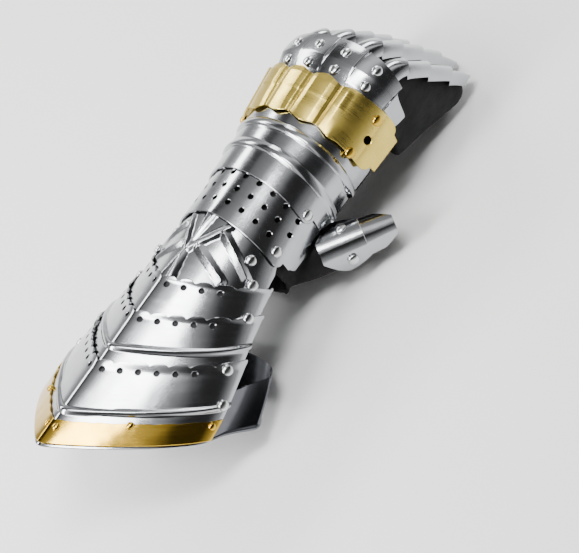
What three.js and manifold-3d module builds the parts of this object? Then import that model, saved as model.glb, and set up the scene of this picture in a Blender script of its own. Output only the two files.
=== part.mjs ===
// An armoured gauntlet for the left hand: overlapping steel lames with brass trim, riveted over a
// hollow leather glove. Units are millimetres. It is built along its own arm, +X towards the
// fingers, +Y towards the little finger and +Z out of the back of the hand, and the whole group is
// then turned into the pose in which it rests on a table, palm down.
import * as THREE from "three";
import { mergeVertices } from "three/addons/utils/BufferGeometryUtils.js";
import Module from "manifold-3d";

const wasm = await Module();
wasm.setup();

// ---- Driving dimensions ------------------------------------------------------------------------

const STEEL = 1.2; // thickness of every steel and brass plate
const SCALE_STEEL = 1.0; // thickness of the finger scales
const LEATHER = 1.8; // wall of the glove
const GAP = 0.4; // clearance between pieces that lie on each other
const LAP = 12; // how far a plate reaches in under its neighbour
const LIFT = 3.1; // how far a plate's lapping edge stands off the form

const REST_PITCH = -3.47; // turn about Y that lays the gauntlet on its cuff and fingertips
const REST_ROLL = -1.18; // turn about X in the same pose

// The form that all plates follow: one row for each section along the arm. The width and heights
// are measured from the arm's axis. keel is how sharply the back is ridged (0 round, 1 a sharp
// roof). square is how flat the back is and palmSquare how flat the palm side is (1 an ellipse,
// less is flatter), and flare is how much wider the palm side is than the back.
const FORM = [
  { along: 0, halfWidth: 85, back: 61, palm: 46, keel: 0.6, square: 1, palmSquare: 0.5, flare: 17 },
  { along: 80, halfWidth: 79, back: 55.5, palm: 46, keel: 0.58, square: 1, palmSquare: 0.5, flare: 17 },
  { along: 120, halfWidth: 70, back: 52.5, palm: 45, keel: 0.5, square: 1, palmSquare: 0.5, flare: 14 },
  { along: 150, halfWidth: 61, back: 49.5, palm: 43.5, keel: 0.42, square: 1, palmSquare: 0.55, flare: 9 },
  { along: 175, halfWidth: 55, back: 47.5, palm: 42, keel: 0.32, square: 1, palmSquare: 0.65, flare: 3 },
  { along: 205, halfWidth: 50, back: 45, palm: 40, keel: 0.15, square: 1, palmSquare: 0.8, flare: 0 },
  { along: 230, halfWidth: 48.5, back: 43.5, palm: 39, keel: 0.04, square: 1, palmSquare: 0.85, flare: 0 },
  { along: 265, halfWidth: 49.5, back: 43.5, palm: 40, keel: 0, square: 1, palmSquare: 0.85, flare: 0 },
  { along: 300, halfWidth: 53, back: 43.5, palm: 42, keel: 0, square: 0.97, palmSquare: 0.85, flare: 0 },
  { along: 335, halfWidth: 56, back: 43.5, palm: 43, keel: 0, square: 0.86, palmSquare: 0.85, flare: 0 },
  { along: 360, halfWidth: 58, back: 43.5, palm: 43, keel: 0, square: 0.72, palmSquare: 0.85, flare: 0 },
];
const BACK_OF_HAND = 43.5; // height of the back, constant from the wrist on
const FLARE_FROM = 0.25; // share of the palm side's curve over which the flare comes in

// How the hand curls: the pitch, in degrees, of the line along the back of the fingers.
const CURL = [
  { along: 0, pitch: 0 },
  { along: 338, pitch: 0 },
  { along: 354, pitch: 5 },
  { along: 368, pitch: 13 },
  { along: 380, pitch: 27 },
  { along: 392, pitch: 43 },
  { along: 407, pitch: 55 },
  { along: 442, pitch: 60 },
  { along: 472, pitch: 66 },
  { along: 492, pitch: 74 },
  { along: 530, pitch: 80 },
];

// Edges of the plates: where each crosses the ridge, and how far its plane leans from square to
// the arm, in degrees. The cuff's edges lean back, parallel to its mouth.
const EDGE = {
  mouth: { ridge: 0, lean: 49 },
  trimTop: { ridge: 22, lean: 48.5 },
  cuff1Top: { ridge: 76, lean: 47.4 },
  cuff2Top: { ridge: 120.5, lean: 44.4 },
  cuff3Top: { ridge: 153.5, lean: 39.4 },
  wristLow: { ridge: 212, lean: -19 },
  handLow: { ridge: 251.5, lean: -17 },
  knuckleLow: { ridge: 307, lean: -9 },
  knuckleTop: { ridge: 345, lean: 0 },
};

// The four fingers: distance of each from the hand's middle line towards the thumb, half the width
// of its scales, its spread in degrees, where its scales end along the back, and their number.
const FINGERS = [
  { name: "index", across: 44.5, halfWidth: 11.7, spread: 1, tip: 488, scales: 4 },
  { name: "middle", across: 20, halfWidth: 12.2, spread: 0, tip: 500, scales: 5 },
  { name: "ring", across: -5.5, halfWidth: 11.8, spread: -1.5, tip: 492, scales: 5 },
  { name: "little", across: -29, halfWidth: 10.8, spread: -3, tip: 468, scales: 4 },
];
const FINGER_ROOT = 345; // where the fingers begin to spread
const FIRST_SCALE = 373; // where the first scale starts, under the finger-root plate
const SCALE_ARCH = 11; // height of a scale's arch
const SCALE_LAP = 7; // how far a scale lies under the one before it
const SCALE_LIFT = 3.6; // how far a scale rises from its start to its rounded end
const SCALE_ROUND = 7; // how far a scale's rounded end reaches past its sides
const TIP_ROUND = 11; // the same for the last scale of a finger
const SCALE_START = 0.92; // width of a scale's hidden start, as a share of its finger's
const FINGER_TAPER = 0.84; // width of a finger's last scale, as a share of its first
const TIP_TAPER = 0.62; // width of the last scale's end
const KNUCKLES = 360; // the section of the form from which the fingers are measured

// ---- The form ----------------------------------------------------------------------------------

const radians = THREE.MathUtils.degToRad;
const degrees = THREE.MathUtils.radToDeg;
const mix = THREE.MathUtils.lerp;

// A smooth curve through one column of a table, flat past its two ends.
function column(table, key, along) {
  const last = table.length - 1;
  if (along <= table[0].along) return table[0][key];
  if (along >= table[last].along) return table[last][key];
  const i = table.findIndex((row) => row.along > along) - 1;
  const slope = (j) => {
    const a = table[Math.max(j - 1, 0)];
    const b = table[Math.min(j + 1, last)];
    return (b[key] - a[key]) / (b.along - a.along);
  };
  const [from, to] = [table[i], table[i + 1]];
  const span = to.along - from.along;
  const t = (along - from.along) / span;
  const rise = to[key] - from[key];
  const bend = t * (1 - t);
  return from[key] + rise * t * t * (3 - 2 * t) + span * bend * (slope(i) * (1 - t) - slope(i + 1) * t);
}

// The line along the back of the hand: straight over the arm, then curling down over the fingers.
const SPINE = [new THREE.Vector3(0, 0, BACK_OF_HAND)];
for (let along = 1; along <= 540; along++) {
  const pitch = radians(column(CURL, "pitch", along - 0.5));
  const step = new THREE.Vector3(Math.cos(pitch), 0, -Math.sin(pitch));
  SPINE.push(SPINE[along - 1].clone().add(step));
}

function spine(along) {
  const place = THREE.MathUtils.clamp(along, 0, SPINE.length - 2);
  const i = Math.floor(place);
  return SPINE[i].clone().lerp(SPINE[i + 1], place - i);
}

// A point beside the spine: across is towards the thumb, height is out of the back of the hand.
function beside(along, across, height) {
  const pitch = radians(column(CURL, "pitch", along));
  const point = spine(along);
  point.x += Math.min(along, 0) + height * Math.sin(pitch);
  point.z += height * Math.cos(pitch);
  point.y = -across;
  return point;
}

// A point of the form: around is 0 on the ridge, 90 at the thumb's side, -90 at the other side.
function form(along, around) {
  const row = (key) => column(FORM, key, along);
  const [sin, cos] = [Math.sin(radians(around)), Math.cos(radians(around))];
  const keel = row("keel");
  const round = Math.pow(Math.max(cos, 0), row("square"));
  const back = row("back") * ((1 - keel) * round + keel * (1 - Math.abs(sin)));
  const palm = -row("palm") * Math.pow(Math.max(-cos, 0), row("palmSquare"));
  const flare = row("flare") * THREE.MathUtils.clamp(-cos / FLARE_FROM, 0, 1);
  return beside(along, (row("halfWidth") + flare) * sin, (cos >= 0 ? back : palm) - BACK_OF_HAND);
}

// The direction straight out of the form.
function outward(along, around) {
  const lengthwise = form(along + 1, around).sub(form(along - 1, around));
  const crosswise = form(along, around + 2).sub(form(along, around - 2));
  return crosswise.cross(lengthwise).normalize();
}

const overForm = (along, around, height) =>
  form(along, around).addScaledVector(outward(along, around), height);

// How far along an edge's plane meets the form at each angle, closing in on it pass by pass.
const EDGE_SEARCH = { passes: 24, blend: 0.7 };
const edge = ({ ridge, lean }) => (around) => {
  let along = ridge;
  for (let i = 0; i < EDGE_SEARCH.passes; i++) {
    const drop = form(ridge, 0).z - form(along, around).z;
    along = mix(along, ridge + drop * Math.tan(radians(lean)), EDGE_SEARCH.blend);
  }
  return along;
};

const shifted = (line, distance) => (around) => line(around) + distance;

// ---- Solids ------------------------------------------------------------------------------------

function solidFrom(points, triangles) {
  const vertices = new Float32Array(points.flatMap((p) => [p.x, p.y, p.z]));
  const build = (order) =>
    new wasm.Manifold(
      new wasm.Mesh({ numProp: 3, vertProperties: vertices, triVerts: new Uint32Array(order.flat()) }),
    );
  const made = build(triangles);
  return made.volume() > 0 ? made : build(triangles.map(([a, b, c]) => [a, c, b]));
}

// A closed three.js geometry as a solid.
function solidOf(geometry) {
  const bare = geometry.clone();
  bare.deleteAttribute("normal");
  bare.deleteAttribute("uv");
  const merged = mergeVertices(bare, 1e-3);
  const places = merged.attributes.position;
  const points = Array.from({ length: places.count }, (_, i) =>
    new THREE.Vector3().fromBufferAttribute(places, i),
  );
  const index = Array.from(merged.index.array);
  const triangles = [];
  for (let i = 0; i < index.length; i += 3) {
    const [a, b, c] = index.slice(i, i + 3);
    if (a !== b && b !== c && c !== a) triangles.push([a, b, c]);
  }
  return solidFrom(points, triangles);
}

// A thin plate from a grid of rows, each a list of {inner, outer} points.
function sheetSolid(rows) {
  const [count, width] = [rows.length, rows[0].length];
  const points = rows.flat().flatMap(({ inner, outer }) => [inner, outer]);
  const at = (i, j, side) => 2 * (i * width + j) + side;
  const triangles = [];
  const quad = (a, b, c, d) => triangles.push([a, b, c], [a, c, d]);
  for (let i = 0; i + 1 < count; i++) {
    for (let j = 0; j + 1 < width; j++) {
      quad(at(i, j, 1), at(i, j + 1, 1), at(i + 1, j + 1, 1), at(i + 1, j, 1));
      quad(at(i, j, 0), at(i + 1, j, 0), at(i + 1, j + 1, 0), at(i, j + 1, 0));
    }
    quad(at(i, 0, 0), at(i, 0, 1), at(i + 1, 0, 1), at(i + 1, 0, 0));
    quad(at(i, width - 1, 1), at(i, width - 1, 0), at(i + 1, width - 1, 0), at(i + 1, width - 1, 1));
  }
  for (let j = 0; j + 1 < width; j++) {
    quad(at(0, j, 1), at(0, j, 0), at(0, j + 1, 0), at(0, j + 1, 1));
    quad(at(count - 1, j, 0), at(count - 1, j, 1), at(count - 1, j + 1, 1), at(count - 1, j + 1, 0));
  }
  return solidFrom(points, triangles);
}

// A closed body through rings of points, with its two ends capped.
function loftSolid(rings) {
  const width = rings[0].length;
  const middle = (ring) =>
    ring.reduce((sum, p) => sum.add(p), new THREE.Vector3()).divideScalar(ring.length);
  const points = [...rings.flat(), middle(rings[0]), middle(rings.at(-1))];
  const [first, last] = [points.length - 2, points.length - 1];
  const triangles = [];
  for (let j = 0; j < width; j++) {
    const next = (j + 1) % width;
    for (let i = 0; i + 1 < rings.length; i++) {
      const [a, b] = [i * width + j, i * width + next];
      triangles.push([a, b, b + width], [a, b + width, a + width]);
    }
    const end = (rings.length - 1) * width;
    triangles.push([first, next, j], [last, end + j, end + next]);
  }
  return solidFrom(points, triangles);
}

// A plate on the form between two edges. sides gives the angle that it reaches at each share of
// its length, height and relief its place over the form, and rows the shares where it is cut.
function plate({ from, to, sides, height, relief = () => 0, rows, columns = 18 }) {
  const grid = rows.map((share) =>
    Array.from({ length: columns + 1 }, (_, j) => {
      const around = mix(-1, 1, j / columns) * sides(share);
      const along = mix(from(around), to(around), share);
      const over = height(share) + relief(around, share);
      return { inner: overForm(along, around, over), outer: overForm(along, around, over + STEEL) };
    }),
  );
  return sheetSolid(grid);
}

const evenly = (count) => Array.from({ length: count + 1 }, (_, i) => i / count);

// Straight lines between the given [share, value] pairs.
const steps = (...pairs) => (share) => {
  const i = pairs.findIndex(([at]) => at >= share);
  if (i <= 0) return i === 0 ? pairs[0][1] : pairs.at(-1)[1];
  const [[a, low], [b, high]] = [pairs[i - 1], pairs[i]];
  return mix(low, high, (share - a) / (b - a));
};

// ---- Holes and rivets --------------------------------------------------------------------------

const HOLE = { radius: 2.2, sides: 5, depth: 12 }; // decorative perforation
const RIVET = { head: 4.3, dome: 2.4, shank: 1.6, hole: 1.95, sides: 6 };
const RIVET_SHOULDER = { out: 0.62, up: 0.72 }; // shares of the head's radius and of its dome

// Where something stands on the form: its foot and the direction out of the surface.
function seat(along, around, height) {
  return { foot: overForm(along, around, height), out: outward(along, around) };
}

function standing(geometry, { foot, out }) {
  const turn = new THREE.Quaternion().setFromUnitVectors(new THREE.Vector3(0, 1, 0), out);
  return geometry.applyQuaternion(turn).translate(foot.x, foot.y, foot.z);
}

const borer = (place, radius, sides) =>
  solidOf(standing(new THREE.CylinderGeometry(radius, radius, HOLE.depth, sides), place));

function drilled(solid, places, radius = HOLE.radius, sides = HOLE.sides) {
  return places.reduce((left, place) => left.subtract(borer(place, radius, sides)), solid);
}

// A domed rivet whose head stands on the place and whose shank reaches in by depth.
function rivetSolid(place, depth) {
  const profile = [
    [0, RIVET.dome],
    [RIVET.head * RIVET_SHOULDER.out, RIVET.dome * RIVET_SHOULDER.up],
    [RIVET.head, 0],
    [RIVET.shank, 0],
    [RIVET.shank, -depth],
    [0, -depth],
  ].map(([r, y]) => new THREE.Vector2(r, y));
  return solidOf(standing(new THREE.LatheGeometry(profile, RIVET.sides), place));
}

// Both sides of each [along, around] pair.
const mirrored = (pairs) => pairs.flatMap(([along, around]) => [[along, around], [along, -around]]);

// ---- The pieces --------------------------------------------------------------------------------

const COLOURS = { steel: 0xc4c7cb, darkSteel: 0x6d7176, brass: 0xc9962f, leather: 0x141416 };
const FINISH = {
  steel: { color: COLOURS.steel, metalness: 1, roughness: 0.22 },
  darkSteel: { color: COLOURS.darkSteel, metalness: 1, roughness: 0.35 },
  brass: { color: COLOURS.brass, metalness: 1, roughness: 0.25 },
  leather: { color: COLOURS.leather, metalness: 0, roughness: 0.75 },
};

const gauntlet = new THREE.Group();
gauntlet.rotation.set(radians(REST_ROLL), radians(REST_PITCH), 0, "XYZ");

function add(name, solid, finish) {
  const mesh = solid.getMesh();
  const geometry = new THREE.BufferGeometry()
    .setAttribute("position", new THREE.BufferAttribute(mesh.vertProperties, 3))
    .setIndex(new THREE.BufferAttribute(mesh.triVerts, 1));
  geometry.computeVertexNormals();
  const piece = new THREE.Mesh(geometry, new THREE.MeshStandardMaterial(FINISH[finish]));
  piece.name = name;
  gauntlet.add(piece);
}

// How a lame stands off the form from its free edge to the edge that laps over its neighbour.
const lappingTop = (share) => mix(GAP, LIFT, share);
const lappingLow = (share) => mix(LIFT, GAP, share);

// Distance of a place from the nearest finger's middle line, across the hand.
const acrossHand = (around) => column(FORM, "halfWidth", KNUCKLES) * Math.sin(radians(around));
const fromFinger = (around) =>
  Math.min(...FINGERS.map((finger) => Math.abs(acrossHand(around) - finger.across)));

// Two raised flutes across the back-of-hand plate.
const FLUTE = { height: 2, halfWidth: 0.07, shares: [0.36, 0.64] };
const flutes = (around, share) =>
  Math.max(
    ...FLUTE.shares.map((at) => FLUTE.height * Math.max(0, 1 - Math.abs(share - at) / FLUTE.halfWidth)),
  );

// The knuckle band is raised over each knuckle and flares at its two ends.
const KNUCKLE = { halfWidth: 11, raise: 3.2, flare: 2.2, flareFrom: 78, flareSpan: 20 };
const knuckleCrest = steps([0, 0.35], [0.3, 1], [0.7, 1], [1, 0.5]);
const knuckles = (around, share) => {
  const bump = Math.max(0, 1 - Math.pow(fromFinger(around) / KNUCKLE.halfWidth, 2));
  const flare = Math.max(0, (Math.abs(around) - KNUCKLE.flareFrom) / KNUCKLE.flareSpan);
  return knuckleCrest(share) * KNUCKLE.raise * bump + KNUCKLE.flare * flare;
};

// The finger-root plate has one raised lobe over each finger and a plain tab at each side.
const LOBE = { start: 326, end: 379, dip: 367, tab: 364, raise: 4.4, halfWidth: 11.5, slope: 3.5 };
const TAB = { from: 46, to: 60 }; // where, across the hand, the last lobe gives way to the tab
const LOBE_RISE = steps([0, 0], [0.42, 0.05], [0.65, 0.85], [1, 1]);
const lobeShare = (around) =>
  THREE.MathUtils.clamp((LOBE.halfWidth + LOBE.slope - fromFinger(around)) / LOBE.slope, 0, 1);
const lobes = (around, share) => LOBE.raise * lobeShare(around) * LOBE_RISE(share);
function lobeEnd(around) {
  const lobe = mix(LOBE.dip, LOBE.end, lobeShare(around));
  const side = THREE.MathUtils.smoothstep(Math.abs(acrossHand(around)), TAB.from, TAB.to);
  return lobeShare(around) < 1 ? mix(lobe, LOBE.tab, side) : lobe;
}

// The plates: the edges they run between, the angle they reach to each side at each share of that
// length, their height over the form with any relief, and the shares at which they are cut.
const PLATES = {
  cuff_lame_1: {
    from: edge(EDGE.mouth),
    to: edge(EDGE.cuff1Top),
    sides: steps([0, 86], [1, 84]),
    height: lappingTop,
    rows: evenly(5),
    finish: "steel",
  },
  cuff_lame_2: {
    from: shifted(edge(EDGE.cuff1Top), -LAP),
    to: edge(EDGE.cuff2Top),
    sides: steps([0, 82], [1, 84]),
    height: lappingTop,
    rows: evenly(4),
    finish: "steel",
  },
  cuff_lame_3: {
    from: shifted(edge(EDGE.cuff2Top), -LAP),
    to: edge(EDGE.cuff3Top),
    sides: steps([0, 80], [1, 81]),
    height: lappingTop,
    rows: evenly(3),
    finish: "steel",
  },
  wrist_plate: {
    from: shifted(edge(EDGE.cuff3Top), -LAP),
    to: shifted(edge(EDGE.wristLow), LAP),
    sides: steps([0, 76], [0.6, 78], [1, 72]),
    height: () => GAP,
    rows: evenly(4),
    finish: "steel",
  },
  wrist_lame: {
    from: edge(EDGE.wristLow),
    to: shifted(edge(EDGE.handLow), LAP),
    sides: steps([0, 78], [0.3, 95], [0.6, 100], [1, 100]),
    height: lappingLow,
    rows: [0, 0.3, 0.6, 1],
    finish: "steel",
  },
  hand_plate: {
    from: edge(EDGE.handLow),
    to: shifted(edge(EDGE.knuckleLow), LAP),
    sides: steps([0, 82], [0.15, 95], [0.3, 101], [1, 104]),
    height: lappingLow,
    relief: flutes,
    rows: [0, 0.15, 0.29, 0.36, 0.43, 0.57, 0.64, 0.71, 1],
    finish: "steel",
  },
  knuckle_band: {
    from: edge(EDGE.knuckleLow),
    to: edge(EDGE.knuckleTop),
    sides: steps([0, 92], [0.1, 98], [0.9, 98], [1, 92]),
    height: () => LIFT,
    relief: knuckles,
    rows: [0, 0.1, 0.35, 0.65, 0.9, 1],
    columns: 28,
    finish: "brass",
  },
  finger_root_plate: {
    from: () => LOBE.start,
    to: lobeEnd,
    sides: () => 93,
    height: () => GAP,
    relief: lobes,
    rows: evenly(4),
    columns: 38,
    finish: "steel",
  },
};

// Height over the form of a plate's outer face.
function topOf({ from, to, height, relief }, along, around) {
  const share = (along - from(around)) / (to(around) - from(around));
  return height(share) + (relief ? relief(around, share) : 0) + STEEL;
}

// ---- Rivets and holes in the plates --------------------------------------------------------------

// Each rivet stands on its plate, at both sides of the gauntlet, and passes through the other
// plates in holds down to a depth below the form.
const SHANK_END = -0.6; // height over the form at which most shanks end
const UNDER_HEAD = 0.45; // clearance under a rivet's flat-bottomed head on the curved plate
const SIDE_RIVETS = [
  { name: "cuff_hinge", on: "cuff_lame_1", along: 93, around: 77, to: -2.6 },
  { name: "cuff_1_to_2", on: "cuff_lame_1", along: 116, around: 67.5, to: SHANK_END },
  { name: "cuff_2_to_3", on: "cuff_lame_2", along: 157, around: 68, to: SHANK_END },
  { name: "cuff_3_to_wrist", on: "cuff_lame_3", along: 179.5, around: 59.5, to: SHANK_END },
  { name: "wrist_strap", on: "wrist_plate", along: 195.5, around: 50, to: SHANK_END },
  { name: "wrist_to_lame", on: "wrist_lame", along: 211.5, around: 66.5, to: SHANK_END },
  { name: "lame_to_hand", on: "hand_plate", along: 248, around: 73.5, to: SHANK_END },
  { name: "knuckle_low", on: "knuckle_band", along: 304, around: 70, to: SHANK_END },
  { name: "knuckle_top", on: "knuckle_band", along: 336, around: 74, to: SHANK_END },
];
const LOBE_RIVETS = [352.5, 368]; // places of the two rivets along each lobe

const SIDES = [["thumb_side", 1], ["little_side", -1]];
const RIVETS = [
  ...SIDE_RIVETS.flatMap((rivet) =>
    SIDES.map(([sideName, side]) => ({
      ...rivet,
      name: `rivet_${rivet.name}_${sideName}`,
      around: side * rivet.around,
    })),
  ),
  ...FINGERS.flatMap((finger) =>
    LOBE_RIVETS.map((along, i) => ({
      name: `rivet_${finger.name}_root_${i + 1}`,
      on: "finger_root_plate",
      along,
      around: degrees(Math.asin(finger.across / column(FORM, "halfWidth", KNUCKLES))),
      to: SHANK_END,
    })),
  ),
];
for (const rivet of RIVETS) {
  const height = topOf(PLATES[rivet.on], rivet.along, rivet.around) + UNDER_HEAD;
  rivet.seat = seat(rivet.along, rivet.around, height);
  rivet.depth = height - rivet.to;
}

// Holes along the edges of the cuff lames: how far back from the edge, and their spacing.
const EDGE_HOLES = {
  cuff_lame_1: { back: 8, first: 5, spacing: 10, count: 6 },
  cuff_lame_2: { back: 7, first: 5, spacing: 10, count: 5 },
  cuff_lame_3: { back: 7, first: 5, spacing: 10.5, count: 4 },
};
function edgeHoles(name) {
  const { back, first, spacing, count } = EDGE_HOLES[name];
  const row = shifted(PLATES[name].to, -back);
  const width = column(FORM, "halfWidth", row(45));
  const angles = Array.from({ length: count }, (_, i) =>
    degrees(Math.asin((first + i * spacing) / width)),
  );
  return angles.map((around) => [row(around), around]);
}

// The wrist lame's three rows of holes.
const PIERCED_COLUMNS = [7.5, 22.5, 37.5, 53, 70];
const PIERCED_ROWS = [
  { ridge: 225, lean: -18, count: 4 },
  { ridge: 237.5, lean: -18, count: 5 },
  { ridge: 249.5, lean: -18, count: 5 },
];
const pierced = PIERCED_ROWS.flatMap((row) =>
  PIERCED_COLUMNS.slice(0, row.count).map((around) => [edge(row)(around), around]),
);

const HOLES = {
  cuff_lame_1: edgeHoles("cuff_lame_1"),
  cuff_lame_2: edgeHoles("cuff_lame_2"),
  cuff_lame_3: edgeHoles("cuff_lame_3"),
  wrist_lame: pierced,
};
const BAND_HOLE = { along: 320, around: 76.5, radius: 3.4, sides: 8 };

// Cuts the holes for the rivets that pass through a piece.
function riveted(name, solid) {
  const crossing = RIVETS.filter((rivet) => rivet.on === name || JOINED[rivet.on]?.includes(name));
  return drilled(solid, crossing.map((rivet) => rivet.seat), RIVET.hole, RIVET.sides);
}

// Which pieces lie under a plate, so that its rivets may pass through them.
const JOINED = {
  cuff_lame_1: ["cuff_lame_2", "inner_cuff_plate"],
  cuff_lame_2: ["cuff_lame_3"],
  cuff_lame_3: ["wrist_plate"],
  wrist_lame: ["wrist_plate"],
  hand_plate: ["wrist_lame"],
  knuckle_band: ["hand_plate", "finger_root_plate"],
};

for (const [name, spec] of Object.entries(PLATES)) {
  const holes = mirrored(HOLES[name] ?? []).map(([along, around]) => seat(along, around, STEEL));
  let solid = drilled(riveted(name, plate(spec)), holes);
  if (name === "knuckle_band") {
    const places = mirrored([[BAND_HOLE.along, BAND_HOLE.around]]).map((at) => seat(...at, LIFT));
    solid = drilled(solid, places, BAND_HOLE.radius, BAND_HOLE.sides);
  }
  add(name, solid, spec.finish);
}

for (const rivet of RIVETS) {
  const finish = rivet.on === "knuckle_band" ? "brass" : "steel";
  add(rivet.name, rivetSolid(rivet.seat, rivet.depth), finish);
}

// The brass trim along the mouth, in two halves that meet in a mitre on the ridge.
const TRIM = { start: 0.4, end: 84, hem: 2, columns: 11 };
for (const [sideName, side] of SIDES) {
  const low = shifted(edge(EDGE.mouth), TRIM.hem);
  const top = edge(EDGE.trimTop);
  const rows = evenly(2).map((share) =>
    Array.from({ length: TRIM.columns + 1 }, (_, j) => {
      const around = side * mix(TRIM.start, TRIM.end, j / TRIM.columns);
      const along = mix(low(around), top(around), share);
      const over = topOf(PLATES.cuff_lame_1, along, around) + GAP;
      return { inner: overForm(along, around, over), outer: overForm(along, around, over + STEEL) };
    }),
  );
  add(`mouth_trim_${sideName}`, sheetSolid(rows), "brass");
}

// The inner plate closes the cuff on the palm side and tucks in under the first lame's edges.
const INNER = { length: 40, palmLength: 30, tuck: 72, columns: 22 };
{
  const low = edge(EDGE.mouth);
  const rows = evenly(3).map((share) =>
    Array.from({ length: INNER.columns + 1 }, (_, j) => {
      const around = mix(INNER.tuck, 360 - INNER.tuck, j / INNER.columns);
      const palmward = Math.pow(Math.max(-Math.cos(radians(around)), 0), 2);
      const along = low(around) + share * mix(INNER.length, INNER.palmLength, palmward);
      return {
        inner: overForm(along, around, -STEEL - GAP),
        outer: overForm(along, around, -GAP),
      };
    }),
  );
  add("inner_cuff_plate", riveted("inner_cuff_plate", sheetSolid(rows)), "darkSteel");
}

// ---- Fingers -----------------------------------------------------------------------------------

// How far the form drops below the spine at a finger's place.
function fingerDrop({ across }) {
  const sin = across / column(FORM, "halfWidth", KNUCKLES);
  return BACK_OF_HAND * (Math.pow(1 - sin * sin, column(FORM, "square", KNUCKLES) / 2) - 1);
}

// A point at a finger: across and height are measured from the crown of its scales.
function atFinger(finger, along, across, height) {
  const spread = Math.max(along - FINGER_ROOT, 0) * Math.tan(radians(finger.spread));
  return beside(along, finger.across + spread + across, fingerDrop(finger) + height);
}

function scaleSolid(finger, start, end, { taper, round, columns = 6, rows = 2 }) {
  const reach = 84; // degrees round the finger to each side of its crown
  const grid = evenly(rows).map((share) =>
    Array.from({ length: columns + 1 }, (_, j) => {
      const around = radians(mix(-reach, reach, j / columns));
      const along = mix(start, end - round * Math.pow(Math.sin(around), 2), share);
      const width = finger.halfWidth * mix(taper[0], taper[1], share);
      const lift = SCALE_LIFT * share;
      const place = (thick) =>
        atFinger(
          finger,
          along,
          (width + thick) * Math.sin(around),
          lift - SCALE_ARCH + (SCALE_ARCH + thick) * Math.cos(around),
        );
      return { inner: place(0), outer: place(SCALE_STEEL) };
    }),
  );
  return sheetSolid(grid);
}

for (const finger of FINGERS) {
  const shown = (finger.tip - LOBE.end) / finger.scales;
  for (let i = 0; i < finger.scales; i++) {
    const end = LOBE.end + shown * (i + 1);
    const start = Math.max(end - shown - SCALE_LAP, FIRST_SCALE);
    const isTip = i === finger.scales - 1;
    const share = (along) => mix(1, FINGER_TAPER, (along - LOBE.end) / (finger.tip - LOBE.end));
    const taper = [SCALE_START * share(start), isTip ? TIP_TAPER : share(end)];
    const solid = scaleSolid(finger, start, end, { taper, round: isTip ? TIP_ROUND : SCALE_ROUND });
    add(`${finger.name}_scale_${i + 1}`, solid, "steel");
  }
}

// ---- The glove ---------------------------------------------------------------------------------

const GLOVE = { mouth: 200, front: 355, under: 1.0, underScales: 2.4, columns: 16, rows: 6 };
const GLOVE_FINGER = { rings: 5, sides: 8, lap: 3, shortOfTip: 5, root: 0.84, tip: 0.62, fullness: 3 };
const MOUTH_CUT = 5; // how far the hollow is cut past the glove's mouth
const PALM_LINE = { start: 340, startHeight: -38, tipDepth: 19 };

// The leather's body under the plates; inset moves its surface inwards.
function gloveBody(inset, mouth, front) {
  const rings = evenly(GLOVE.rows).map((share) => {
    const along = mix(mouth, front, share);
    return Array.from({ length: GLOVE.columns }, (_, j) =>
      overForm(along, (360 * j) / GLOVE.columns, -GLOVE.under - inset),
    );
  });
  return loftSolid(rings);
}

// A glove finger: its back follows the scales and its palm side runs straight to the tip.
function gloveFinger(finger, inset, start) {
  const { rings: count, sides, root, tip: end, fullness } = GLOVE_FINGER;
  const tip = finger.tip - GLOVE_FINGER.shortOfTip - inset;
  const palmStart = new THREE.Vector3(PALM_LINE.start, 0, PALM_LINE.startHeight);
  const palmEnd = atFinger(finger, tip, 0, -PALM_LINE.tipDepth);
  const rings = evenly(count).map((share) => {
    const along = mix(start, tip, share);
    const top = atFinger(finger, along, 0, -GLOVE.underScales - inset);
    const low = palmStart.clone().lerp(palmEnd, (along - PALM_LINE.start) / (tip - PALM_LINE.start));
    low.y = top.y;
    const centre = top.clone().add(low).multiplyScalar(0.5);
    const upright = top.clone().sub(low).multiplyScalar(0.5);
    upright.setLength(upright.length() - inset / 2);
    const width = finger.halfWidth * mix(root, end, Math.pow(share, fullness)) - inset;
    return Array.from({ length: sides }, (_, j) => {
      const turn = (2 * Math.PI * j) / sides;
      const point = centre.clone().addScaledVector(upright, Math.cos(turn));
      point.y -= width * Math.sin(turn);
      return point;
    });
  });
  return loftSolid(rings);
}

// The thumb: a tapering round body from the side of the palm.
const THUMB = {
  root: new THREE.Vector3(213, -28, -20),
  tip: new THREE.Vector3(284, -78, -38),
  radius: [13, 15, 14.5, 12.5, 8],
  sides: 8,
};
const THUMB_AXIS = THUMB.tip.clone().sub(THUMB.root).normalize();
const THUMB_OUT = new THREE.Vector3(-0.35, -0.55, 0.75);
THUMB_OUT.addScaledVector(THUMB_AXIS, -THUMB_OUT.dot(THUMB_AXIS)).normalize();
const THUMB_SIDE = THUMB_AXIS.clone().cross(THUMB_OUT);
const THUMB_LENGTH = THUMB.tip.distanceTo(THUMB.root);

// A point at the thumb: along its axis, round it from its outer side, and away from its axis.
function atThumb(along, around, radius) {
  return THUMB.root
    .clone()
    .addScaledVector(THUMB_AXIS, along)
    .addScaledVector(THUMB_OUT, radius * Math.cos(radians(around)))
    .addScaledVector(THUMB_SIDE, radius * Math.sin(radians(around)));
}

function gloveThumb(inset) {
  const { sides } = THUMB;
  const rings = THUMB.radius.map((radius, i) => {
    const along = ((THUMB_LENGTH - inset) * i) / (THUMB.radius.length - 1);
    return Array.from({ length: sides }, (_, j) => atThumb(along, (360 * j) / sides, radius - inset));
  });
  return loftSolid(rings);
}

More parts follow.
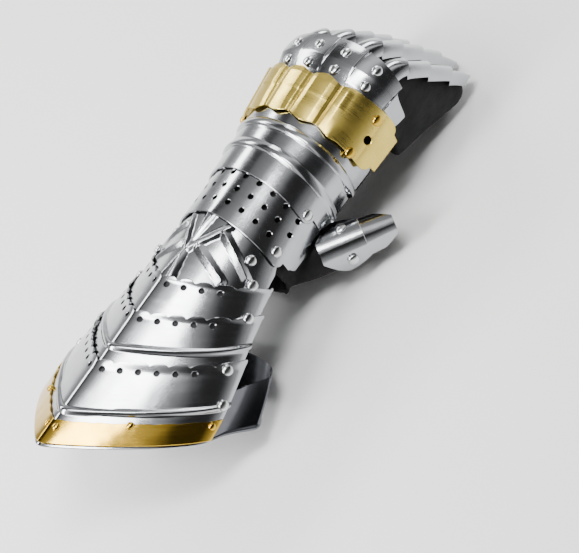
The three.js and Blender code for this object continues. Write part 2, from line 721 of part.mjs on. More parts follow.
{
  const outer = [
    gloveBody(0, GLOVE.mouth, GLOVE.front),
    gloveThumb(0),
    ...FINGERS.map((finger) => gloveFinger(finger, 0, GLOVE.front - GLOVE_FINGER.lap)),
  ];
  const inner = [
    gloveBody(LEATHER, GLOVE.mouth - MOUTH_CUT, GLOVE.front - LEATHER),
    gloveThumb(LEATHER),
    ...FINGERS.map((finger) => gloveFinger(finger, LEATHER, GLOVE.front - 2 * GLOVE_FINGER.lap)),
  ];
  const joined = (solids) => solids.reduce((whole, solid) => whole.add(solid));
  add("leather_glove", joined(outer).subtract(joined(inner)), "leather");
}

// The thumb's two plates: a wide diamond over its root and a small rounded one over its tip. Each
// narrows from its first radius to its second, and spread is the angle that it reaches each way.
const THUMB_PLATES = {
  base: { start: 30, end: 66, radii: [19.4, 17.6], spread: steps([0, 24], [0.5, 80], [1, 52]) },
  tip: {
    start: 58,
    end: THUMB_LENGTH + 2,
    radii: [15.6, 11.8],
    spread: steps([0, 60], [0.6, 70], [1, 34]),
  },
};
function thumbPlate({ start, end, radii, spread }) {
  const [rows, columns] = [5, 8];
  const grid = evenly(rows).map((share) =>
    Array.from({ length: columns + 1 }, (_, j) => {
      const around = mix(-1, 1, j / columns) * spread(share);
      const radius = mix(...radii, share);
      const along = mix(start, end, share);
      return { inner: atThumb(along, around, radius), outer: atThumb(along, around, radius + STEEL) };
    }),
  );
  return sheetSolid(grid);
}

const THUMB_RIVET = { along: 52, around: 38, head: 20.6, bore: 18, depth: 4.2 };
const thumbRivets = mirrored([[THUMB_RIVET.along, THUMB_RIVET.around]]);
const thumbSeat = ([along, around], radius) => ({
  foot: atThumb(along, around, radius),
  out: atThumb(0, around, 1).sub(THUMB.root),
});
{
  const bores = thumbRivets.map((place) => thumbSeat(place, THUMB_RIVET.bore));
  const base = drilled(thumbPlate(THUMB_PLATES.base), bores, RIVET.hole, RIVET.sides);
  add("thumb_base_plate", base, "steel");
  thumbRivets.forEach((place, i) => {
    const rivet = rivetSolid(thumbSeat(place, THUMB_RIVET.head), THUMB_RIVET.depth);
    add(`rivet_thumb_base_${i + 1}`, rivet, "steel");
  });
  add("thumb_tip_plate", thumbPlate(THUMB_PLATES.tip), "steel");
}

// The origin is the middle of the resting gauntlet's bounding box, at the height of the table.
gauntlet.updateMatrixWorld(true);
const extent = new THREE.Box3().setFromObject(gauntlet, true);
const middle = extent.getCenter(new THREE.Vector3());
gauntlet.position.set(-middle.x, -middle.y, -extent.min.z);

export default gauntlet;
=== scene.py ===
"""An armoured gauntlet for the left hand, lying palm down: steel lames, brass trim, leather glove.

Lengths are millimetres in the gauntlet's own frame (+X towards the fingers, +Y towards the little
finger, +Z out of the back of the hand) and become metres in the row frame when a mesh is made.
"""

import bmesh
import bpy
import numpy as np
from mathutils import Matrix, Vector, geometry, noise


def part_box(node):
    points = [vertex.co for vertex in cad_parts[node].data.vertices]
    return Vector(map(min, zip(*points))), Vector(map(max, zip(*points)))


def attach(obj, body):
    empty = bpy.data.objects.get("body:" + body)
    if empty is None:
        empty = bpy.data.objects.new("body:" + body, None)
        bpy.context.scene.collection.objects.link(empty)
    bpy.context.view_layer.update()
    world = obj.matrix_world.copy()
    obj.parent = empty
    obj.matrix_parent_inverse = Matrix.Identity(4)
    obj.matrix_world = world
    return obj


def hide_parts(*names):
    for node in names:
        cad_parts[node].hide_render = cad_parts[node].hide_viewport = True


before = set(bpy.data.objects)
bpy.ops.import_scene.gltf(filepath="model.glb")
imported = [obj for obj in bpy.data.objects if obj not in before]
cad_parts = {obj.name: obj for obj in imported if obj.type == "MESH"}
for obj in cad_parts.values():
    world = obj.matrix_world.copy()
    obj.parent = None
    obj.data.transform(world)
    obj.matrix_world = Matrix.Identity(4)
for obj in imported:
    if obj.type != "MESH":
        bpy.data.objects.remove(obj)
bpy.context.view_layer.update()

# ---- The form, the same as the solids' ----

STEEL, SCALE_STEEL, LEATHER = 1.2, 1.0, 1.8
GAP, LAP, LIFT = 0.4, 12, 3.1
REST_PITCH, REST_ROLL = -3.47, -1.18
BACK_OF_HAND = 43.5
FLARE_FROM = 0.25
RIDGE_ROUND = 0.035  # how far, as a share of the width, a ridge is rounded over
RIDGE_LOSS = 0.4  # share of that rounding by which the ridge is lowered


def table(names, *rows):
    """Columns by name from one row for each section."""
    return dict(zip(names.split(), np.array(rows, float).T))


FORM = table(
    "along halfWidth back palm keel square palmSquare flare",
    (0, 85, 61, 46, 0.6, 1, 0.5, 17),
    (80, 79, 55.5, 46, 0.58, 1, 0.5, 17),
    (120, 70, 52.5, 45, 0.5, 1, 0.5, 14),
    (150, 61, 49.5, 43.5, 0.42, 1, 0.55, 9),
    (175, 55, 47.5, 42, 0.32, 1, 0.65, 3),
    (205, 50, 45, 40, 0.15, 1, 0.8, 0),
    (230, 48.5, 43.5, 39, 0.04, 1, 0.85, 0),
    (265, 49.5, 43.5, 40, 0, 1, 0.85, 0),
    (300, 53, 43.5, 42, 0, 0.97, 0.85, 0),
    (335, 56, 43.5, 43, 0, 0.86, 0.85, 0),
    (360, 58, 43.5, 43, 0, 0.72, 0.85, 0),
)
CURL = table(
    "along pitch",
    (0, 0), (338, 0), (354, 5), (368, 13), (380, 27), (392, 43), (407, 55), (442, 60),
    (472, 66), (492, 74), (530, 80),
)
FINGERS = {
    "index": dict(across=44.5, half=11.7, spread=1, tip=488, scales=4),
    "middle": dict(across=20, half=12.2, spread=0, tip=500, scales=5),
    "ring": dict(across=-5.5, half=11.8, spread=-1.5, tip=492, scales=5),
    "little": dict(across=-29, half=10.8, spread=-3, tip=468, scales=4),
}
FINGER_ROOT, FIRST_SCALE = 345, 373
KNUCKLES = 360  # the section of the form from which the fingers are measured
SCALE_ARCH, SCALE_LAP, SCALE_LIFT, SCALE_ROUND = 11, 7, 3.6, 7
TIP_ROUND = 11  # rounding of a finger's last scale
SCALE_START, FINGER_TAPER, TIP_TAPER = 0.92, 0.84, 0.62  # shares of a finger's first width


def rad(degrees):
    return np.radians(degrees)


def mix(a, b, t):
    return a + (b - a) * t


def steps(*pairs):
    """Straight lines between (share, value) pairs."""
    at, value = np.array(pairs, float).T
    return lambda share: np.interp(share, at, value)


def smooth(t):
    t = np.clip(t, 0, 1)
    return t * t * (3 - 2 * t)


def column(rows, key, along):
    """A smooth curve through one column of a table, flat past its ends."""
    x, y = rows["along"], rows[key]
    last = len(x) - 1
    a = np.clip(along, x[0], x[-1])
    i = np.clip(np.searchsorted(x, a, side="right") - 1, 0, last - 1)
    low, high = np.maximum(np.arange(last + 1) - 1, 0), np.minimum(np.arange(last + 1) + 1, last)
    slope = (y[high] - y[low]) / (x[high] - x[low])
    span, rise = x[i + 1] - x[i], y[i + 1] - y[i]
    t = (a - x[i]) / span
    bend = span * t * (1 - t) * (slope[i] * (1 - t) - slope[i + 1] * t)
    return y[i] + rise * t * t * (3 - 2 * t) + bend


_ALONG = np.arange(0, 541)
_PITCH = rad(column(CURL, "pitch", _ALONG[1:] - 0.5))
SPINE_X = np.concatenate([[0], np.cumsum(np.cos(_PITCH))])
SPINE_Z = BACK_OF_HAND - np.concatenate([[0], np.cumsum(np.sin(_PITCH))])


def beside(along, across, height):
    """A point beside the line along the back of the hand; across is towards the thumb."""
    along, across, height = np.broadcast_arrays(*(np.asarray(v, float) for v in (along, across, height)))
    pitch = rad(column(CURL, "pitch", along))
    x = np.interp(along, _ALONG, SPINE_X) + np.minimum(along, 0) + height * np.sin(pitch)
    z = np.interp(along, _ALONG, SPINE_Z) + height * np.cos(pitch)
    return np.stack([x, -across, z], -1)


def form(along, around):
    """A point of the form: around is 0 on the ridge, 90 at the thumb's side."""
    along, around = np.broadcast_arrays(np.asarray(along, float), np.asarray(around, float))
    row = {key: column(FORM, key, along) for key in FORM if key != "along"}
    sin, cos = np.sin(rad(around)), np.cos(rad(around))
    roof = 1 + RIDGE_LOSS * RIDGE_ROUND - np.hypot(sin, RIDGE_ROUND)
    back = row["back"] * (
        (1 - row["keel"]) * np.maximum(cos, 0) ** row["square"] + row["keel"] * roof
    )
    palm = -row["palm"] * np.maximum(-cos, 0) ** row["palmSquare"]
    flare = row["flare"] * np.clip(-cos / FLARE_FROM, 0, 1)
    height = np.where(cos >= 0, back, palm) - BACK_OF_HAND
    return beside(along, (row["halfWidth"] + flare) * sin, height)


def unit(v):
    return v / np.maximum(np.linalg.norm(v, axis=-1, keepdims=True), 1e-12)


def outward(along, around):
    lengthwise = form(along + 1, around) - form(along - 1, around)
    crosswise = form(along, around + 2) - form(along, around - 2)
    return unit(np.cross(crosswise, lengthwise))


def over_form(along, around, height):
    return form(along, around) + outward(along, around) * np.asarray(height)[..., None]


def edge(ridge, lean, reach=(-120, 120), passes=30):
    """Where a leaning plane meets the form: the place along it at each angle."""
    grid = np.arange(reach[0], reach[1] + 0.1, 0.5)
    along = np.full(grid.shape, float(ridge))
    for _ in range(passes):
        drop = form(np.full(grid.shape, float(ridge)), 0.0)[:, 2] - form(along, grid)[:, 2]
        along = mix(along, ridge + drop * np.tan(rad(lean)), 0.7)
    return lambda around: np.interp(around, grid, along)


def shifted(line, distance):
    return lambda around: line(around) + distance


MOUTH, TRIM_TOP = edge(0, 49), edge(22, 48.5)
MOUTH_ALL = edge(0, 49, (0, 360), 40)  # the same all the way round the palm side
CUFF_TOPS = [edge(76, 47.4), edge(120.5, 44.4), edge(153.5, 39.4)]
WRIST_LOW, HAND_LOW = edge(212, -19), edge(251.5, -17)
KNUCKLE_LOW, KNUCKLE_TOP = edge(307, -9), edge(345, 0)

# ---- Resting place ----


def turn_to_rest(points):
    turn = Matrix.Rotation(rad(REST_ROLL), 3, "X") @ Matrix.Rotation(rad(REST_PITCH), 3, "Y")
    return points @ np.array(turn).T


def rest_offset():
    """Where the arm's origin lies in the row frame, from a node's box and its own corners."""
    shares, angles = np.linspace(0, 1, 6), np.linspace(-1, 1, 19)
    sides = steps((0, 86), (1, 84))
    points = []
    for share in shares:
        around = angles * sides(share)
        along = mix(MOUTH(around), CUFF_TOPS[0](around), share)
        for up in (0, STEEL):
            points.append(over_form(along, around, mix(GAP, LIFT, share) + up))
    turned = turn_to_rest(np.concatenate(points))
    low, high = (np.array(corner) * 1000 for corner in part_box("cuff_lame_1"))
    return (low + high) / 2 - (turned.min(0) + turned.max(0)) / 2


OFFSET = rest_offset()


def to_row(points):
    """Points of the arm's frame, in millimetres, as metres in the row frame."""
    return (turn_to_rest(np.asarray(points, float)) + OFFSET) / 1000


def direction_to_row(directions):
    return turn_to_rest(np.asarray(directions, float))


# ---- Sheets ----

EDGE_BEVEL = 0.32  # width of the fine bevel along every cut edge
LOOP_STEP = 0.9  # spacing of the points along an edge
HOLE_POINTS = 28  # points round a hole
CLEAR = 0.45  # least distance of an inner point from an edge


def within(polygon, points):
    """Which points are inside a closed polygon."""
    x, y = points[:, 0], points[:, 1]
    hit = np.zeros(len(points), bool)
    for (xi, yi), (xj, yj) in zip(polygon, np.roll(polygon, 1, axis=0)):
        cross = (yi > y) != (yj > y)
        hit ^= cross & (x < (xj - xi) * (y - yi) / (yj - yi + 1e-30) + xi)
    return hit


class Surface:
    """A surface over a flat domain, near to millimetres, with its own slopes."""

    def __init__(self, place):
        self.place = place  # function of (points, height over the sheet's inner face)

    def slopes(self, points, step=0.35):
        dx, dy = np.array([step, 0]), np.array([0, step])
        ux = (self.place(points + dx, 1.0) - self.place(points - dx, 1.0)) / (2 * step)
        uy = (self.place(points + dy, 1.0) - self.place(points - dy, 1.0)) / (2 * step)
        return ux, uy

    def normals(self, points, step=0.35):
        ux, uy = self.slopes(points, step)
        up = self.place(points, 2.0) - self.place(points, 0.0)
        n = unit(np.cross(ux, uy))
        return np.where((n * up).sum(-1, keepdims=True) < 0, -n, n)

    def flat_move(self, points, moves):
        """The steps in the domain that make the given moves in space."""
        ux, uy = self.slopes(points)
        a, b, c = (ux * ux).sum(-1), (ux * uy).sum(-1), (uy * uy).sum(-1)
        p, q = (ux * moves).sum(-1), (uy * moves).sum(-1)
        det = a * c - b * b
        return np.stack([(c * p - b * q) / det, (a * q - b * p) / det], -1)

    def ring(self, centre, radius, count):
        """A round hole's edge in the domain."""
        c = np.repeat(np.array([centre], float), count, axis=0)
        ux, uy = self.slopes(c)
        e1 = unit(ux)
        e2 = unit(uy - e1 * (uy * e1).sum(-1, keepdims=True))
        t = np.linspace(0, 2 * np.pi, count, endpoint=False)[:, None]
        return c + self.flat_move(c, radius * (np.cos(t) * e1 + np.sin(t) * e2))

    def inset(self, loop, width):
        """A loop moved in from the edge; the loop runs anticlockwise in the domain."""
        here = self.place(loop, 1.0)
        tangent = unit(np.roll(here, -1, axis=0) - np.roll(here, 1, axis=0))
        inward = np.cross(self.normals(loop), tangent)
        probe = self.flat_move(loop, inward)
        flat = np.roll(loop, -1, axis=0) - np.roll(loop, 1, axis=0)
        left = flat[:, 0] * probe[:, 1] - flat[:, 1] * probe[:, 0]
        sign = np.where(left > 0, 1.0, -1.0)[:, None]
        return loop + self.flat_move(loop, inward * sign * width)


def resampled(loop, step):
    """Points spaced evenly along a closed polyline, keeping its corners near."""
    closed = np.vstack([loop, loop[:1]])
    length = np.concatenate([[0], np.cumsum(np.linalg.norm(np.diff(closed, axis=0), axis=1))])
    count = max(int(length[-1] / step), 12)
    at = np.linspace(0, length[-1], count, endpoint=False)
    return np.stack([np.interp(at, length, closed[:, k]) for k in (0, 1)], -1)


def area(loop):
    x, y = loop.T
    return 0.5 * np.sum(x * np.roll(y, -1) - np.roll(x, -1) * y)


def sheet(name, surface, outline, holes, xs, ys, thick, bevel=EDGE_BEVEL, material=None, lapped=None):
    """A thin plate as one mesh: a triangulated face each way, bevelled edges and cut holes.

    holes holds (centre, radius) pairs in the domain; xs and ys are the lines of inner points.
    lapped says which places lie under a neighbour; these, and the whole underside, are painted near-black
    as shade.
    """
    if area(outline) < 0:
        outline = outline[::-1]
    loops = [(surface.inset(outline, bevel), outline)]
    for centre, radius in holes:
        rings = [surface.ring(centre, r, HOLE_POINTS) for r in (radius + bevel, radius)]
        loops.append(tuple(rings))
    gx, gy = np.meshgrid(xs, ys, indexing="ij")
    inner = np.stack([gx.ravel(), gy.ravel()], -1)
    inner = inner[within(loops[0][0], inner)]
    for ring, _ in loops[1:]:
        inner = inner[~within(ring, inner)]
    rim = np.concatenate([ring for ring, _ in loops])
    keep = np.ones(len(inner), bool)
    for start in range(0, len(inner), 2000):
        part = inner[start : start + 2000]
        near = np.min(np.linalg.norm(part[:, None] - rim[None], axis=2), axis=1)
        keep[start : start + 2000] = near > CLEAR
    flat = np.concatenate([rim, inner[keep]])
    constraints, first = [], 0
    for ring, _ in loops:
        n = len(ring)
        constraints += [(first + i, first + (i + 1) % n) for i in range(n)]
        first += n
    verts, _, faces, origins, _, _ = geometry.delaunay_2d_cdt(
        [Vector(p) for p in flat.tolist()], constraints, [], 0, 1e-6
    )
    back = np.array([o[0] if o else -1 for o in origins])
    tris = np.array([[back[i] for i in f] for f in faces if len(f) == 3 and all(back[i] >= 0 for i in f)])
    middle = flat[tris].mean(axis=1)
    good = within(loops[0][0], middle)
    for ring, _ in loops[1:]:
        good &= ~within(ring, middle)
    tris = tris[good]
    cut = np.concatenate([ring for _, ring in loops])  # the true edges, one for each rim point
    count, width = len(flat), len(cut)
    points = np.concatenate([
        surface.place(flat, thick), surface.place(flat, 0.0),
        surface.place(cut, thick - bevel), surface.place(cut, 0.0),
    ])
    normal_in = surface.normals(flat)
    normal_cut = surface.normals(cut)
    out = unit(points[2 * count : 2 * count + width] - points[:width])
    out = unit(out - normal_cut * (out * normal_cut).sum(-1, keepdims=True))
    a, b, c = (points[tris[:, k]] for k in range(3))
    facing = (np.cross(b - a, c - a) * normal_in[tris[:, 0]]).sum(-1)
    tris[facing < 0] = tris[facing < 0][:, ::-1]
    polygons, corner_normals = [], []

    def push(faces_, normals_):
        polygons.extend(faces_.tolist())
        corner_normals.append(normals_.reshape(-1, 3))

    push(tris, normal_in[tris])
    push((tris + count)[:, ::-1], -normal_in[tris][:, ::-1])
    first = 0
    for ring, _ in loops:
        n = len(ring)
        i = np.arange(n) + first
        j = (np.arange(n) + 1) % n + first
        top = np.stack([i, j, 2 * count + j, 2 * count + i], -1)
        wall = np.stack([2 * count + i, 2 * count + j, 2 * count + width + j, 2 * count + width + i], -1)
        under = np.stack([count + i, count + j, 2 * count + width + j, 2 * count + width + i], -1)
        slant = unit(normal_cut + out)
        for quads, wanted in ((top, slant), (wall, out), (under, -normal_cut)):
            p = points[quads]
            face = np.cross(p[:, 2] - p[:, 0], p[:, 3] - p[:, 1])
            flip = (face * wanted[i]).sum(-1) < 0
            index = np.stack([i, j, j, i], -1)
            quads[flip] = quads[flip][:, ::-1]
            index[flip] = index[flip][:, ::-1]
            push(quads, wanted[index])
        first += n
    flow = np.concatenate([flat, flat, cut, cut])
    piece = mesh_piece(name, points, polygons, np.concatenate(corner_normals), material, flow)
    if lapped is not None:
        # Painted shade: the lapped places on top and the whole underside get the near-black steel.
        piece.data.materials.append(PAINTED_SHADE_STEEL)
        hidden = lapped(flat[tris].mean(axis=1))
        slots = np.zeros(len(polygons), np.int32)
        slots[: len(tris)] = hidden
        slots[len(tris) : 2 * len(tris)] = 1
        piece.data.polygons.foreach_set("material_index", slots)
    return piece


def mesh_piece(name, points, polygons, corner_normals=None, material=None, flow=None):
    mesh = bpy.data.meshes.new(name)
    mesh.from_pydata(to_row(points).tolist(), [], polygons)
    if flow is not None:
        layer = mesh.uv_layers.new(name="flow")
        index = np.zeros(len(mesh.loops), int)
        mesh.loops.foreach_get("vertex_index", index)
        layer.data.foreach_set("uv", (flow[index] / 1000).astype(np.float32).ravel())
    mesh.polygons.foreach_set("use_smooth", [True] * len(mesh.polygons))
    if corner_normals is not None:
        mesh.normals_split_custom_set(direction_to_row(corner_normals).tolist())
    mesh.update()
    if material:
        mesh.materials.append(material)
    piece = bpy.data.objects.new(name, mesh)
    bpy.context.scene.collection.objects.link(piece)
    return piece


def joined(name, objects):
    """One object from several meshes."""
    target = objects[0]
    if len(objects) > 1:
        with bpy.context.temp_override(
            active_object=target, object=target, selected_objects=objects,
            selected_editable_objects=objects,
        ):
            bpy.ops.object.join()
    target.name = target.data.name = name
    return target


def finished(piece, slot, *nodes):
    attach(piece, "root")
    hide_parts(*nodes)


# ---- Materials ----


class Nodes:
    """A short way to build a material's nodes."""

    def __init__(self, name):
        self.material = bpy.data.materials.new(name)
        self.material.use_nodes = True
        self.tree = self.material.node_tree
        self.shader = self.tree.nodes["Principled BSDF"]

    def add(self, kind, values=None, **settings):
        node = self.tree.nodes.new("ShaderNode" + kind)
        for key, value in settings.items():
            setattr(node, key, value)
        for key, value in (values or {}).items():
            if isinstance(value, bpy.types.NodeSocket):
                self.tree.links.new(value, node.inputs[key])
            else:
                node.inputs[key].default_value = value
        return node

    def math(self, operation, a, b=0.0):
        return self.add("Math", {0: a, 1: b}, operation=operation).outputs[0]

    def remap(self, value, low, high, to_low, to_high):
        made = self.add("MapRange", {0: value, 1: low, 2: high, 3: to_low, 4: to_high})
        return made.outputs[0]

    def blend(self, factor, a, b):
        made = self.add("Mix", data_type="RGBA")
        for socket, value in ((made.inputs[0], factor), (made.inputs[6], a), (made.inputs[7], b)):
            if isinstance(value, bpy.types.NodeSocket):
                self.tree.links.new(value, socket)
            else:
                socket.default_value = value
        return made.outputs[2]

    def noise(self, vector, scale, detail=3.0, roughness=0.5):
        values = {"Vector": vector, "Scale": scale, "Detail": detail, "Roughness": roughness}
        return self.add("TexNoise", values).outputs[0]

    def stretched(self, vector, scale):
        return self.add("Mapping", {"Vector": vector, "Scale": scale}).outputs[0]

    def bump(self, height, strength, distance, normal=None):
        values = {"Height": height, "Strength": strength, "Distance": distance}
        if normal is not None:
            values["Normal"] = normal
        return self.add("Bump", values).outputs[0]

    def set(self, **sockets):
        for key, value in sockets.items():
            key = key.replace("_", " ")
            if isinstance(value, bpy.types.NodeSocket):
                self.tree.links.new(value, self.shader.inputs[key])
            else:
                self.shader.inputs[key].default_value = value


BRUSHING = 0.12  # strength of the brush marks in polished metal


def metal(name, colour, tint, rough, wave):
    """Satin polished plate: fine brushing round the plate, faint unevenness and smudges."""
    n = Nodes(name)
    where = n.add("TexCoord")
    flow, place = where.outputs["UV"], where.outputs["Object"]
    brushed = n.noise(n.stretched(flow, (5200, 260, 1)), 1.0, 4.0, 0.6)
    scratch = n.noise(n.stretched(flow, (900, 24, 1)), 1.0, 6.0, 0.7)
    smudge = n.noise(place, 38.0, 4.0, 0.6)
    dents = n.noise(place, 26.0, 2.0, 0.4)
    shade = n.math("MULTIPLY", n.remap(smudge, 0.35, 0.7, 0.0, 1.0), 0.45)
    base = n.blend(shade, (*colour, 1), (*tint, 1))
    spread = n.math("ADD", n.remap(smudge, 0.3, 0.75, rough * 0.8, rough * 1.3),
                    n.remap(scratch, 0.35, 0.7, -0.03, 0.05))
    normal = n.bump(dents, wave, 0.004)
    normal = n.bump(brushed, BRUSHING, 0.0001, normal)
    n.set(Base_Color=base, Metallic=1.0, Roughness=spread, Normal=normal)
    return n.material


def leather():
    n = Nodes("black_leather")
    place = n.add("TexCoord").outputs["Object"]
    grain = n.add("TexVoronoi", {"Vector": place, "Scale": 900.0}, feature="DISTANCE_TO_EDGE")
    fine = n.noise(place, 1500.0, 4.0, 0.6)
    crease = n.noise(n.stretched(place, (60, 160, 120)), 1.0, 5.0, 0.6)
    worn = n.noise(place, 30.0, 4.0, 0.6)
    base = n.blend(n.remap(worn, 0.35, 0.75, 0.0, 1.0), (0.003, 0.003, 0.003, 1), (0.008, 0.008, 0.008, 1))
    normal = n.bump(n.remap(grain.outputs["Distance"], 0.0, 0.12, 0.0, 1.0), 0.35, 0.00015)
    normal = n.bump(crease, 0.5, 0.0012, normal)
    normal = n.bump(fine, 0.2, 0.0001, normal)
    n.set(Base_Color=base, Roughness=n.remap(worn, 0.3, 0.8, 0.8, 0.62), Normal=normal,
          Specular_IOR_Level=0.22)
    return n.material


STEEL_LOOK = metal("satin_steel", (0.43, 0.44, 0.455), (0.33, 0.34, 0.36), 0.15, 0.16)
RIVET_LOOK = metal("rivet_steel", (0.66, 0.67, 0.68), (0.56, 0.57, 0.58), 0.16, 0.0)
DARK_LOOK = metal("dark_steel", (0.13, 0.135, 0.15), (0.09, 0.09, 0.10), 0.16, 0.12)
BRASS_LOOK = metal("polished_brass", (0.66, 0.43, 0.06), (0.36, 0.20, 0.025), 0.14, 0.4)
BAND_LOOK = metal("satin_brass", (0.72, 0.55, 0.13), (0.58, 0.42, 0.08), 0.28, 0.14)
LEATHER_LOOK = leather()
# Painted shade: near-black steel for the lapped parts of plates and their undersides, where shade falls.
PAINTED_SHADE_STEEL = metal("painted_shade_steel", (0.03, 0.03, 0.032), (0.015, 0.015, 0.016), 0.45, 0.1)

# ---- Plates ----


class Plate:
    """A plate between two edges of the form, as in the solids, with its fine relief."""

    def __init__(self, low, top, sides, height, relief=None, radius=60.0):
        self.low, self.top, self.sides, self.height = low, top, sides, height
        self.relief = relief or (lambda around, share: 0.0)
        angles = np.linspace(-60, 60, 9)
        self.length = float(np.mean(top(angles) - low(angles)))
        self.turn = np.radians(1) * radius  # millimetres of the domain for one degree
        self.surface = Surface(self.place)

    def along(self, share, around):
        return mix(self.low(around), self.top(around), share)

    def place(self, points, up):
        share, around = points[:, 0] / self.length, points[:, 1] / self.turn
        over = self.height(share) + self.relief(around, share) + up
        return over_form(self.along(share, around), around, over)

    def at(self, along, around):
        """The place in the domain of a point of the form."""
        share = (along - self.low(around)) / (self.top(around) - self.low(around))
        return np.array([share * self.length, around * self.turn])

    def top_of(self, along, around):
        share = (along - self.low(around)) / (self.top(around) - self.low(around))
        return float(self.height(share) + self.relief(np.float64(around), share) + STEEL)

    def outline(self, top_wave=None, low_wave=None, corner_top=6.0, corner_low=6.0):
        """The plate's edge: a wave is a distance outwards at each angle."""
        corners = []

        def long_edge(share, wave, direction, corner):
            reach = self.sides(share) - corner / self.turn
            around = np.linspace(-reach, reach, 700)[:: direction]
            share_at = np.full(around.shape, float(share))
            if wave is not None:
                length = self.top(around) - self.low(around)
                share_at = share_at + wave(around) / length * (1 if share else -1)
            return np.stack([share_at * self.length, around * self.turn], -1)

        def side_edge(sign, direction):
            low, high = corner_low / self.length, 1 - corner_top / self.length
            share = np.linspace(low, high, 90)[:: direction]
            return np.stack([share * self.length, sign * self.sides(share) * self.turn], -1)

        def corner(sign, at_top, radius, direction):
            t = np.linspace(0, np.pi / 2, 14)[1:-1][:: direction]
            share = 1 if at_top else 0
            y = self.sides(share) * self.turn - radius + radius * np.cos(t)
            x = (self.length - radius + radius * np.sin(t)) if at_top else radius - radius * np.sin(t)
            return np.stack([x, sign * y], -1)

        corners.append(long_edge(0, low_wave, 1, corner_low))
        corners.append(corner(1, False, corner_low, -1))
        corners.append(side_edge(1, 1))
        corners.append(corner(1, True, corner_top, 1))
        corners.append(long_edge(1, top_wave, -1, corner_top))
        corners.append(corner(-1, True, corner_top, -1))
        corners.append(side_edge(-1, -1))
        corners.append(corner(-1, False, corner_low, 1))
        return resampled(np.concatenate(corners), LOOP_STEP)


def lapping_top(share):
    return mix(GAP, LIFT, share) + 0.9 * smooth((share - 0.88) / 0.12)


def lapping_low(share):
    return mix(LIFT, GAP, share)


def across_at(along, around):
    return column(FORM, "halfWidth", along) * np.sin(rad(around))


def scallops(line, spacing, depth, start=0.0):
    """Rounded lobes with a notch between each two, evenly spaced across the gauntlet."""

    def wave(around):
        phase = (np.abs(across_at(line(around), around)) - start) / spacing
        lobe = np.abs(np.sin(np.pi * phase)) ** 0.62
        return depth * (lobe - 1)

    return wave


def share_of(plate_low, plate_top, line):
    return lambda around: (line(around) - plate_low(around)) / (plate_top(around) - plate_low(around))


def rib_along(low, top, line, half, height, lee=1.0):
    """A rib that follows a leaning line; lee widens its side away from the wrist."""
    where = share_of(low, top, line)

    def relief(around, share):
        length = top(around) - low(around)
        d = (share - where(around)) * length
        width = np.where(d > 0, half * lee, half)
        return height * np.maximum(0, 1 - (d / width) ** 2) ** 1.1

    return relief


ACROSS = float(column(FORM, "halfWidth", np.float64(KNUCKLES)))  # half the width there


def from_finger(around):
    across = ACROSS * np.sin(rad(around))
    gaps = [np.abs(across - f["across"]) for f in FINGERS.values()]
    return np.min(gaps, axis=0)


CUFF_LOWS = [MOUTH, shifted(CUFF_TOPS[0], -LAP), shifted(CUFF_TOPS[1], -LAP)]
BEAD_LINES = [edge(31, 49.5), edge(88, 46.6)]

RAYS = (  # raised rays of the wrist plate: (along, around) of both ends, half width, height
    ((216, -9), (152, 4), 4.0, 2.1),
    ((216, 4), (150, -7), 3.2, 1.6),
    ((180, 1), (209, 22), 3.6, 2.0),
    ((184, 8), (170, 36), 4.4, 2.4),
    ((203, 19), (182, 53), 4.4, 2.4),
)


def rays(around, along):
    """The rays of the wrist plate, at both sides of its ridge."""
    around = np.abs(around)
    radius = column(FORM, "halfWidth", along)
    y = rad(around) * radius
    total = np.zeros(np.shape(y))
    for (a0, t0), (a1, t1), half, height in RAYS:
        p = np.array([a0, rad(t0) * column(FORM, "halfWidth", np.float64(a0))])
        q = np.array([a1, rad(t1) * column(FORM, "halfWidth", np.float64(a1))])
        run = q - p
        size = np.hypot(*run)
        run = run / size
        d, s = np.array(along) - p[0], y - p[1]
        t = np.clip((d * run[0] + s * run[1]) / size, 0, 1)
        near = np.hypot(d - run[0] * t * size, s - run[1] * t * size)
        total = np.maximum(total, height * np.maximum(0, 1 - near / half))
    return total


FLUTE_LINES = [edge(274, -14.5), edge(293.5, -10)]
KNUCKLE = dict(crown=3.0, valley=1.3, flat=6.0, half=12.5, groove=2.4, end=2.2)
KNUCKLE_RISE = steps((0, 0.45), (0.3, 0.75), (0.52, 0.8), (0.56, 1.0), (0.88, 1.0), (1, 0.7))


def knuckles(around, share):
    """A flat-topped crown over each knuckle with a sharp valley between each two."""
    half = KNUCKLE["half"]
    off = from_finger(around)
    plain = smooth((np.abs(around) - 40) / 8)  # the band's two ends are plain
    slope = np.clip((half - off) / (half - KNUCKLE["flat"]), 0, 1)
    crown = KNUCKLE["crown"] * (0.35 + 0.65 * slope) * KNUCKLE_RISE(share)
    valley = -KNUCKLE["valley"] * np.clip(1 - (half - off) / KNUCKLE["groove"], 0, 1)
    flare = np.maximum(0, (np.abs(around) - 78) / 20)
    return mix(crown + valley, KNUCKLE["end"], plain) + KNUCKLE["end"] * flare


def band_wave(lift, start):
    """The band's edge follows its knuckles, and runs straight at its two ends."""

    def wave(around):
        bend = np.cos(from_finger(around) / KNUCKLE["half"] * np.pi) - lift
        return 1.5 * bend * (1 - smooth((np.abs(around) - start) / 12))

    return wave


LOBE = dict(start=326, end=379, dip=367, tab=364, raise_=4.4, half=11.5, slope=3.5)
LOBE_RISE = steps((0, 0), (0.42, 0.05), (0.65, 0.85), (1, 1))


def lobe_share(around):
    return np.clip((LOBE["half"] + LOBE["slope"] - from_finger(around)) / LOBE["slope"], 0, 1)


def lobe_end(around):
    lobe = mix(LOBE["dip"], LOBE["end"], lobe_share(around))
    side = smooth((np.abs(ACROSS * np.sin(rad(around))) - 46) / 14)
    return np.where(lobe_share(around) < 1, mix(lobe, LOBE["tab"], side), lobe)


def hand_relief(around, share):
    low, top = HAND_LOW, shifted(KNUCKLE_LOW, LAP)
    ribs = [rib_along(low, top, line, 2.6, 2.1, 2.2) for line in FLUTE_LINES]
    return np.maximum(ribs[0](around, share), ribs[1](around, share))


